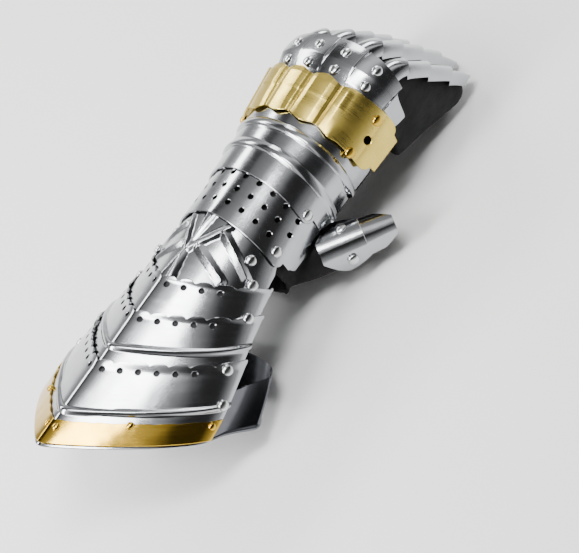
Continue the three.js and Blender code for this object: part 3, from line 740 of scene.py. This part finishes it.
def wrist_relief(around, share):
    low, top = shifted(CUFF_TOPS[2], -LAP), shifted(WRIST_LOW, LAP)
    return rays(around, mix(low(around), top(around), share))


PLATES = {
    "cuff_lame_1": Plate(CUFF_LOWS[0], CUFF_TOPS[0], steps((0, 86), (1, 84)), lapping_top,
                         rib_along(MOUTH, CUFF_TOPS[0], BEAD_LINES[0], 3.0, 1.9), 72),
    "cuff_lame_2": Plate(CUFF_LOWS[1], CUFF_TOPS[1], steps((0, 82), (1, 84)), lapping_top,
                         rib_along(CUFF_LOWS[1], CUFF_TOPS[1], BEAD_LINES[1], 3.0, 1.9), 66),
    "cuff_lame_3": Plate(CUFF_LOWS[2], CUFF_TOPS[2], steps((0, 80), (1, 81)), lapping_top, None, 58),
    "wrist_plate": Plate(shifted(CUFF_TOPS[2], -LAP), shifted(WRIST_LOW, LAP),
                         steps((0, 76), (0.6, 78), (1, 72)), lambda s: GAP + 0 * s, wrist_relief, 52),
    "wrist_lame": Plate(WRIST_LOW, shifted(HAND_LOW, LAP),
                        steps((0, 78), (0.3, 95), (0.6, 100), (1, 100)), lapping_low, None, 48),
    "hand_plate": Plate(HAND_LOW, shifted(KNUCKLE_LOW, LAP),
                        steps((0, 82), (0.15, 95), (0.3, 101), (1, 104)), lapping_low, hand_relief, 50),
    "knuckle_band": Plate(KNUCKLE_LOW, KNUCKLE_TOP,
                          steps((0, 92), (0.1, 98), (0.9, 98), (1, 92)), lambda s: LIFT + 0 * s,
                          knuckles, 54),
    "finger_root_plate": Plate(lambda a: LOBE["start"] + 0 * a, lobe_end, lambda s: 93 + 0 * s,
                               lambda s: GAP + 0 * s,
                               lambda a, s: LOBE["raise_"] * lobe_share(a) * LOBE_RISE(s), 56),
}

HOLE, BAND_HOLE = 2.2, 3.4
EDGE_HOLES = {
    "cuff_lame_1": dict(back=8, first=5, spacing=10, count=6),
    "cuff_lame_2": dict(back=7, first=5, spacing=10, count=5),
    "cuff_lame_3": dict(back=7, first=5, spacing=10.5, count=4),
}
PIERCED_COLUMNS = [7.5, 22.5, 37.5, 53, 70]
PIERCED_ROWS = [(225, -18, 4), (237.5, -18, 5), (249.5, -18, 5)]


def hole_places(name):
    """(along, around) of a plate's decorative holes on the thumb's side."""
    if name == "wrist_lame":
        return [(edge(ridge, lean)(a), a) for ridge, lean, count in PIERCED_ROWS
                for a in PIERCED_COLUMNS[:count]]
    if name not in EDGE_HOLES:
        return []
    spec = EDGE_HOLES[name]
    row = shifted(PLATES[name].top, -spec["back"])
    width = column(FORM, "halfWidth", np.float64(row(45)))
    angles = [np.degrees(np.arcsin((spec["first"] + i * spec["spacing"]) / width))
              for i in range(spec["count"])]
    return [(row(a), a) for a in angles]


def both_sides(pairs):
    return [(along, side * around) for along, around in pairs for side in (1, -1)]


def lines(start, end, step):
    return np.linspace(start, end, max(int((end - start) / step), 2))


def near_lines(spots, half, step):
    return np.concatenate([np.arange(s - half, s + half + step / 2, step) for s in spots])


SCALLOPS = {"cuff_lame_1": (10, 3.0), "cuff_lame_2": (10, 3.0), "cuff_lame_3": (10.5, 3.0)}
NOTCH = 4.2  # how far in from an edge its notches show the plate below


def lapped_part(name, plate):
    """Which places of a plate lie under the plate before it, past that one's notches: where painted shade
    goes.
    """
    before = {"cuff_lame_2": CUFF_TOPS[0], "cuff_lame_3": CUFF_TOPS[1], "wrist_plate": CUFF_TOPS[2]}
    if name not in before:
        return None

    def hidden(points):
        share, around = points[:, 0] / plate.length, points[:, 1] / plate.turn
        return plate.along(share, around) < before[name](around) - NOTCH

    return hidden


CORNER_TOP = {"knuckle_band": 7, "finger_root_plate": 5}
CORNER_LOW = {"wrist_lame": 9, "hand_plate": 9, "knuckle_band": 7}
CORNER = 4  # radius of the other plates' corners
FINE = {"knuckle_band": 0.9, "finger_root_plate": 0.9, "wrist_plate": 1.1, "hand_plate": 1.1}
COARSE = 1.9  # spacing of the other plates' inner points
BAND_HOLE_AT = (320, 76.5)
MARGIN = 8  # how far the lines of inner points run past a plate


def build_plates():
    for name, plate in PLATES.items():
        band = name == "knuckle_band"
        wave = scallops(plate.top, *SCALLOPS[name]) if name in SCALLOPS else None
        wave = band_wave(0.2, 40) if band else wave
        low_wave = band_wave(0, 46) if band else None
        outline = plate.outline(wave, low_wave, CORNER_TOP.get(name, CORNER), CORNER_LOW.get(name, CORNER))
        spots, radius = ([BAND_HOLE_AT], BAND_HOLE) if band else (hole_places(name), HOLE)
        holes = [(plate.at(*spot), radius) for spot in both_sides(spots)]
        step = FINE.get(name, COARSE)
        reach = float(np.max(plate.sides(np.linspace(0, 1, 9)))) * plate.turn + MARGIN
        xs = lines(-MARGIN, plate.length + MARGIN, min(step, 1.3))
        ys = np.concatenate([lines(-reach, reach, step), near_lines([0], 4, 0.5)])
        piece = sheet(name + "_fine", plate.surface, outline, holes, xs, np.unique(np.round(ys, 3)),
                      STEEL, material=BAND_LOOK if band else STEEL_LOOK,
                      lapped=lapped_part(name, plate))
        finished(piece, "brass" if band else "steel", name)


# ---- Trim and inner plate ----

TRIM = dict(start=0.4, end=84, hem=2, run=20, turn=1.2)  # run and turn: its flat size
TRIM_RIVETS = [(17, 2.6), (45, 31), (76, 76.5)]


def dome(place, out, radius, height):
    """A domed rivet head, standing on a place."""
    rings, around = 9, 28
    e1 = unit(np.cross(out, np.array([0.3, 0.9, 0.1])))
    e2 = np.cross(out, e1)
    t = np.linspace(0, 2 * np.pi, around, endpoint=False)
    points, polygons = [], []
    skirt = [(1.0, -1.6), (1.0, 0.0)]
    curve = [(np.cos(a), np.sin(a)) for a in np.linspace(0.12, np.pi / 2, rings)[:-1]]
    for r, h in skirt + curve:
        level = h if h < 0 else h * height
        points.append(place + out * level
                      + radius * r * (np.cos(t)[:, None] * e1 + np.sin(t)[:, None] * e2))
    points = np.concatenate(points + [place[None] + out * height])
    count = len(skirt) + len(curve)
    for i in range(count - 1):
        for j in range(around):
            k = (j + 1) % around
            polygons.append([i * around + j, i * around + k, (i + 1) * around + k, (i + 1) * around + j])
    top = len(points) - 1
    for j in range(around):
        polygons.append([(count - 1) * around + j, (count - 1) * around + (j + 1) % around, top])
    polygons.append(list(range(around))[::-1])
    return points, polygons


def rivet(name, place, out, radius, height, material):
    points, polygons = dome(np.asarray(place), np.asarray(out), radius, height)
    return mesh_piece(name, points, polygons, None, material, points[:, :2])


def build_trim():
    lame = PLATES["cuff_lame_1"]
    low = shifted(MOUTH, TRIM["hem"])
    for side_name, side in (("thumb_side", 1), ("little_side", -1)):

        def place(points, up, side=side):
            share, around = points[:, 0] / TRIM["run"], side * points[:, 1] / TRIM["turn"]
            along = mix(low(around), TRIM_TOP(around), share)
            on = (along - lame.low(around)) / (lame.top(around) - lame.low(around))
            base = lame.height(on) + STEEL + GAP
            return over_form(along, around, base + up)

        around = np.linspace(TRIM["start"], TRIM["end"], 300)
        across = across_at(low(around), around)
        wave = 0.9 * (np.abs(np.sin(np.pi * across / 11)) ** 0.7 - 0.6)
        bottom = np.stack([0 * around, around * TRIM["turn"]], -1)
        top = np.stack([TRIM["run"] * (1 + wave / 22), around * TRIM["turn"]], -1)[::-1]
        outline = resampled(np.concatenate([bottom, top]), LOOP_STEP)
        surface = Surface(place)
        body = sheet("trim", surface, outline, [], lines(0, 21, 1.6), lines(0, 101, 1.6), STEEL,
                     material=BRASS_LOOK)
        parts = [body]
        for along, angle in TRIM_RIVETS:
            angle = side * angle
            base = lame.top_of(along, angle) + GAP + STEEL
            out = outward(np.float64(along), np.float64(angle))
            spot = over_form(np.float64(along), np.float64(angle), base)
            parts.append(rivet("trim_rivet", spot, out, 2.9, 1.9, BRASS_LOOK))
        finished(joined("mouth_trim_%s_fine" % side_name, parts), "brass", "mouth_trim_" + side_name)


INNER = dict(length=40, palm=30, tuck=72, run=45, turn=1.3)


def build_inner_plate():
    run = INNER["run"]

    def place(points, up):
        share, around = points[:, 0] / run, points[:, 1] / INNER["turn"]
        palmward = np.maximum(-np.cos(rad(around)), 0) ** 2
        along = MOUTH_ALL(around) + share * mix(INNER["length"], INNER["palm"], palmward)
        rim = 1.3 * np.maximum(0, 1 - ((share - 0.05) * run / 2.2) ** 2)
        return over_form(along, around, -STEEL - GAP + up + rim)

    y0, y1 = (angle * INNER["turn"] for angle in (INNER["tuck"], 360 - INNER["tuck"]))
    ys = np.linspace(y0, y1, 400)
    outline = np.concatenate([np.stack([0 * ys, ys], -1), np.stack([0 * ys + run, ys[::-1]], -1)])
    outline = resampled(outline, 1.1)
    piece = sheet("inner_cuff_plate_fine", Surface(place), outline, [], lines(0, run, 1.6),
                  lines(y0, y1, 2.2), STEEL, material=DARK_LOOK)
    finished(piece, "dark_steel", "inner_cuff_plate")


# ---- Rivets ----

HEAD, DOME, UNDER_HEAD = 4.3, 2.4, 0.1
SIDE_RIVETS = [
    ("cuff_hinge", "cuff_lame_1", 93, 77), ("cuff_1_to_2", "cuff_lame_1", 116, 67.5),
    ("cuff_2_to_3", "cuff_lame_2", 157, 68), ("cuff_3_to_wrist", "cuff_lame_3", 179.5, 59.5),
    ("wrist_strap", "wrist_plate", 195.5, 50), ("wrist_to_lame", "wrist_lame", 211.5, 66.5),
    ("lame_to_hand", "hand_plate", 248, 73.5), ("knuckle_low", "knuckle_band", 304, 70),
    ("knuckle_top", "knuckle_band", 336, 74),
]
LOBE_RIVETS = [352.5, 368]


def build_rivets():
    rows = []
    for name, on, along, around in SIDE_RIVETS:
        for side_name, side in (("thumb_side", 1), ("little_side", -1)):
            rows.append(("rivet_%s_%s" % (name, side_name), on, along, side * around))
    for name, finger in FINGERS.items():
        around = np.degrees(np.arcsin(finger["across"] / ACROSS))
        for i, along in enumerate(LOBE_RIVETS):
            rows.append(("rivet_%s_root_%d" % (name, i + 1), "finger_root_plate", along, around))
    for name, on, along, around in rows:
        along, around = np.float64(along), np.float64(around)
        height = PLATES[on].top_of(along, around) + UNDER_HEAD
        brass = on == "knuckle_band"
        piece = rivet(name + "_fine", over_form(along, around, height), outward(along, around),
                      HEAD, DOME, BRASS_LOOK if brass else RIVET_LOOK)
        finished(piece, "brass" if brass else "steel", name)


# ---- Fingers ----


def at_finger(finger, along, across, height):
    spread = np.maximum(along - FINGER_ROOT, 0) * np.tan(rad(finger["spread"]))
    sin = finger["across"] / ACROSS
    square = float(column(FORM, "square", np.float64(KNUCKLES)))
    drop = BACK_OF_HAND * ((1 - sin * sin) ** (square / 2) - 1)
    return beside(along, finger["across"] + spread + across, drop + height)


SCALE_REACH, SCALE_TURN = 84, 0.21  # degrees to each side, and flat millimetres for a degree


def build_scales():
    half = SCALE_REACH * SCALE_TURN
    for name, finger in FINGERS.items():
        shown = (finger["tip"] - LOBE["end"]) / finger["scales"]
        for i in range(finger["scales"]):
            end = LOBE["end"] + shown * (i + 1)
            start = max(end - shown - SCALE_LAP, FIRST_SCALE)
            tip = i == finger["scales"] - 1
            first, last = (mix(1, FINGER_TAPER, (along - LOBE["end"]) / (finger["tip"] - LOBE["end"]))
                           for along in (start, end))
            taper = (SCALE_START * first, TIP_TAPER if tip else last)
            rounding = TIP_ROUND if tip else SCALE_ROUND
            length = end - start

            def place(points, up):
                share, around = points[:, 0] / length, rad(points[:, 1] / SCALE_TURN)
                along = mix(start, end - rounding * np.sin(around) ** 2, share)
                width = finger["half"] * mix(taper[0], taper[1], share)
                lift = SCALE_LIFT * share
                return at_finger(finger, along, (width + up) * np.sin(around),
                                 lift - SCALE_ARCH + (SCALE_ARCH + up) * np.cos(around))

            ys = np.linspace(-half, half, 80)
            outline = np.concatenate([
                np.stack([0 * ys, ys], -1), np.stack([0 * ys + length, ys[::-1]], -1)])
            node = "%s_scale_%d" % (name, i + 1)
            piece = sheet(node + "_fine", Surface(place), resampled(outline, 0.8), [],
                          lines(0, length, 1.3), lines(-half, half, 1.1), SCALE_STEEL, 0.25, STEEL_LOOK)
            finished(piece, "steel", node)


# ---- Thumb ----

THUMB_ROOT, THUMB_TIP = np.array([213.0, -28, -20]), np.array([284.0, -78, -38])
THUMB_RADIUS = [13, 15, 14.5, 12.5, 8]
THUMB_LENGTH = float(np.linalg.norm(THUMB_TIP - THUMB_ROOT))
THUMB_AXIS = (THUMB_TIP - THUMB_ROOT) / THUMB_LENGTH
_OUT = np.array([-0.35, -0.55, 0.75])
THUMB_OUT = unit(_OUT - THUMB_AXIS * (_OUT @ THUMB_AXIS))
THUMB_SIDE = np.cross(THUMB_AXIS, THUMB_OUT)
THUMB_RIVETS = [(52, 38), (52, -38)]
THUMB_SEAT = 20.6  # distance of the rivets' heads from the thumb's axis
THUMB_FLAT = 15.0  # half the flat width of a thumb plate


def at_thumb(along, around, radius):
    along, around, radius = (np.asarray(v, float)[..., None] for v in (along, around, radius))
    return (THUMB_ROOT + THUMB_AXIS * along + THUMB_OUT * radius * np.cos(rad(around))
            + THUMB_SIDE * radius * np.sin(rad(around)))


def thumb_piece(name, start, end, spread, lift, radii, crease):
    length = end - start

    def place(points, up):
        share = points[:, 0] / length
        around = points[:, 1] / THUMB_FLAT * spread(np.clip(share, 0, 1))
        radius = mix(*radii, share) + mix(*lift, share) + up
        radius = radius + crease * np.maximum(0, 1 - np.abs(around) / 30)
        return at_thumb(start + share * length, around, radius)

    ys = np.linspace(-THUMB_FLAT, THUMB_FLAT, 60)
    xs = np.linspace(0, length, 60)[1:-1]
    outline = np.concatenate([
        np.stack([0 * ys, ys], -1), np.stack([xs, 0 * xs + THUMB_FLAT], -1),
        np.stack([0 * ys + length, ys[::-1]], -1), np.stack([xs[::-1], 0 * xs - THUMB_FLAT], -1)])
    piece = sheet(name + "_fine", Surface(place), resampled(outline, 0.8), [], lines(0, length, 1.2),
                  lines(-THUMB_FLAT, THUMB_FLAT, 1.0), STEEL, 0.25, STEEL_LOOK)
    finished(piece, "steel", name)


def build_thumb():
    thumb_piece("thumb_base_plate", 30, 66, steps((0, 24), (0.5, 80), (1, 52)), (1, 3), (18.4, 14.6), 1.2)
    thumb_piece("thumb_tip_plate", 58, THUMB_LENGTH + 2, steps((0, 60), (0.6, 70), (1, 34)),
                (0.8, 1.6), (14.8, 10.2), 0.8)
    for i, (along, around) in enumerate(THUMB_RIVETS):
        out = at_thumb(0, around, 1) - THUMB_ROOT
        piece = rivet("rivet_thumb_base_%d_fine" % (i + 1), at_thumb(along, around, THUMB_SEAT), out,
                      HEAD, DOME * (0.6 if i else 1), RIVET_LOOK)
        finished(piece, "steel", "rivet_thumb_base_%d" % (i + 1))


# ---- Glove ----

GLOVE = dict(mouth=200, front=355, under=1.0, under_scales=2.4)
PALM_LINE = dict(start=340, height=-38, depth=19)


def loft(rings):
    """Points and faces of a closed body through rings of points."""
    count, width = len(rings), len(rings[0])
    points = np.concatenate([*rings, [rings[0].mean(0)], [rings[-1].mean(0)]])
    polygons = []
    for j in range(width):
        k = (j + 1) % width
        for i in range(count - 1):
            polygons.append([i * width + j, i * width + k, (i + 1) * width + k, (i + 1) * width + j])
        polygons.append([count * width, k, j])
        polygons.append([count * width + 1, (count - 1) * width + j, (count - 1) * width + k])
    return points, polygons


def glove_bodies():
    around = np.arange(0, 360, 6.0)
    yield loft([over_form(np.full(around.shape, along), around, np.full(around.shape, -GLOVE["under"]))
                for along in np.linspace(GLOVE["mouth"] - 3, GLOVE["front"], 40)])
    turns = np.linspace(0, 2 * np.pi, 28, endpoint=False)
    for finger in FINGERS.values():
        tip = finger["tip"] - 3
        palm_end = at_finger(finger, tip, 0, -PALM_LINE["depth"])
        palm_start = np.array([PALM_LINE["start"], 0, PALM_LINE["height"]])
        rings = []
        for share in np.linspace(0, 1, 40):
            along = mix(GLOVE["front"] - 20, tip, share)
            top = at_finger(finger, along, 0, -GLOVE["under_scales"])
            low = mix(palm_start, palm_end, (along - PALM_LINE["start"]) / (tip - PALM_LINE["start"]))
            low[1] = top[1]
            width = finger["half"] * mix(0.84, 0.62, share**3) + 0.6
            closing = np.sqrt(max(1 - max((share - 0.9) / 0.1, 0) ** 2, 0.02))
            centre, upright = (top + low) / 2, (top - low) / 2 * closing
            ring = centre + np.cos(turns)[:, None] * upright
            ring[:, 1] -= width * closing * np.sin(turns)
            rings.append(ring)
        yield loft(rings)
    rings = []
    for share in np.linspace(-0.12, 1, 26):
        radius = np.interp(max(share, 0), np.linspace(0, 1, 5), THUMB_RADIUS)
        rings.append(at_thumb(np.full(28, share * THUMB_LENGTH), np.degrees(turns), np.full(28, radius)))
    yield loft(rings)


def build_glove():
    parts = [mesh_piece("glove_part", points, polygons) for points, polygons in glove_bodies()]
    piece = joined("leather_glove_fine", parts)
    remesh = piece.modifiers.new("remesh", "REMESH")
    remesh.mode, remesh.voxel_size = "VOXEL", 0.0016
    settle = piece.modifiers.new("settle", "SMOOTH")
    settle.factor, settle.iterations = 0.5, 6
    applied(piece)
    mouth = to_row([[GLOVE["mouth"], 0, 0]])[0]
    out = direction_to_row([[1.0, 0, 0]])[0]
    mesh = piece.data
    points = np.zeros(len(mesh.vertices) * 3)
    mesh.vertices.foreach_get("co", points)
    points = points.reshape(-1, 3)
    gone = (points - mouth) @ out < 0.0004
    bm = bmesh.new()
    bm.from_mesh(mesh)
    bm.verts.ensure_lookup_table()
    bmesh.ops.delete(bm, geom=[bm.verts[i] for i in np.nonzero(gone)[0]], context="VERTS")
    bm.normal_update()
    for v in bm.verts:
        p = v.co * 1000
        soft = noise.noise(p * 0.05) * 0.5 + noise.noise(p * 0.16) * 0.25
        v.co += v.normal * (min(soft, 0.25) - 0.25) / 1000
    bm.to_mesh(mesh)
    bm.free()
    mesh.polygons.foreach_set("use_smooth", [True] * len(mesh.polygons))
    mesh.materials.clear()
    mesh.materials.append(LEATHER_LOOK)
    wall = piece.modifiers.new("wall", "SOLIDIFY")
    wall.thickness, wall.offset = LEATHER / 1000, -1
    applied(piece)
    finished(piece, "leather", "leather_glove")


def applied(piece):
    """Applies the modifiers of a piece."""
    evaluated = piece.evaluated_get(bpy.context.evaluated_depsgraph_get())
    mesh = bpy.data.meshes.new_from_object(evaluated)
    piece.modifiers.clear()
    piece.data = mesh


# ---- Stage ----


def build_floor():
    bpy.ops.mesh.primitive_plane_add(size=12, location=(0, 0, 0))
    floor = bpy.context.object
    floor.name = "floor"
    n = Nodes("pale_floor")
    place = n.add("TexCoord").outputs["Object"]
    cloud = n.noise(place, 3.0, 3.0, 0.5)
    fine = n.noise(place, 700.0, 2.0, 0.5)
    n.set(Base_Color=n.blend(cloud, (0.95, 0.95, 0.95, 1), (0.98, 0.98, 0.975, 1)),
          Roughness=0.55, Normal=n.bump(fine, 0.05, 0.0002))
    floor.data.materials.append(n.material)


LIGHTS = (  # name, azimuth, elevation, distance, width, height, watts; aimed at the gauntlet
    ("overhead", 258, 80, 1.5, 0.7, 0.35, 17),
    ("left", 165, 40, 1.7, 0.4, 1.1, 40),
    ("right", 22, 24, 1.7, 0.3, 1.0, 9),
    ("behind", 85, 36, 1.7, 1.4, 0.3, 18),
)
SKY = (  # angle from the zenith, towards the back of the picture, in degrees; brightness
    (-92, 0.55), (-80, 0.34), (-70, 0.20), (-60, 0.035), (-36, 0.025), (-29, 0.28), (-20, 0.42),
    (-15, 1.0), (-2, 1.0), (3, 0.36), (22, 0.22), (30, 0.04), (44, 0.04), (50, 0.6), (64, 0.7),
    (80, 0.3), (95, 0.55),
)
SKY_STRENGTH = 1.35


def build_world():
    """A soft studio: bright and dark panels in bands that run along the gauntlet."""
    world = bpy.data.worlds.new("studio")
    world.use_nodes = True
    tree = world.node_tree
    link, new = tree.links.new, tree.nodes.new
    where = new("ShaderNodeTexCoord").outputs["Generated"]
    split = new("ShaderNodeSeparateXYZ")
    link(where, split.inputs[0])
    wobble = new("ShaderNodeTexNoise")
    wobble.inputs["Scale"].default_value = 1.7
    wobble.inputs["Detail"].default_value = 1.0
    link(where, wobble.inputs["Vector"])

    def math(operation, a, b=None):
        node = new("ShaderNodeMath")
        node.operation = operation
        for socket, value in zip(node.inputs, (a, b)):
            if isinstance(value, bpy.types.NodeSocket):
                link(value, socket)
            elif value is not None:
                socket.default_value = value
        return node.outputs[0]

    angle = math("ARCTAN2", split.outputs[1], split.outputs[2])
    shift = math("MULTIPLY", math("SUBTRACT", wobble.outputs[0], 0.5), 0.35)
    turned = math("ADD", math("DIVIDE", math("ADD", angle, shift), np.pi), 0.5)
    ramp = new("ShaderNodeValToRGB")
    link(turned, ramp.inputs[0])
    stops = ramp.color_ramp.elements
    while len(stops) < len(SKY):
        stops.new(0.5)
    for stop, (degrees, level) in zip(stops, SKY):
        stop.position = float(np.clip(degrees / 180 + 0.5, 0, 1))
        stop.color = (level, level, level, 1)
    background = tree.nodes["Background"]
    link(ramp.outputs[0], background.inputs[0])
    background.inputs[1].default_value = SKY_STRENGTH
    bpy.context.scene.world = world


def build_lights():
    for name, azimuth, elevation, distance, width, height, watts in LIGHTS:
        data = bpy.data.lights.new(name, "AREA")
        data.shape, data.size, data.size_y, data.energy = "RECTANGLE", width, height, watts
        lamp = bpy.data.objects.new(name, data)
        a, e = rad(azimuth), rad(elevation)
        lamp.location = distance * Vector((np.cos(a) * np.cos(e), np.sin(a) * np.cos(e), np.sin(e)))
        lamp.rotation_euler = (-lamp.location).to_track_quat("-Z", "Y").to_euler()
        bpy.context.scene.collection.objects.link(lamp)
    build_world()


# The camera's directions in the arm's frame, and the point that it looks at.
VIEW_RIGHT = np.array([0.534, -0.707, -0.464])
VIEW_UP = np.array([0.808, 0.265, 0.526])
VIEW_FROM = np.array([-184.0, -1078, 1112])
LENS = 133.2


def build_camera():
    data = bpy.data.cameras.new("camera")
    data.lens, data.sensor_width, data.clip_end = LENS, 36, 20
    camera = bpy.data.objects.new("camera", data)
    right = unit(direction_to_row(VIEW_RIGHT))
    up = direction_to_row(VIEW_UP)
    up = unit(up - right * (up @ right))
    turn = Matrix(np.stack([right, up, np.cross(right, up)], -1).tolist())
    camera.matrix_world = Matrix.Translation(to_row(VIEW_FROM)) @ turn.to_4x4()
    bpy.context.scene.collection.objects.link(camera)
    bpy.context.scene.camera = camera


build_camera()
build_floor()
build_lights()
build_plates()
build_trim()
build_inner_plate()
build_rivets()
build_scales()
build_thumb()
build_glove()
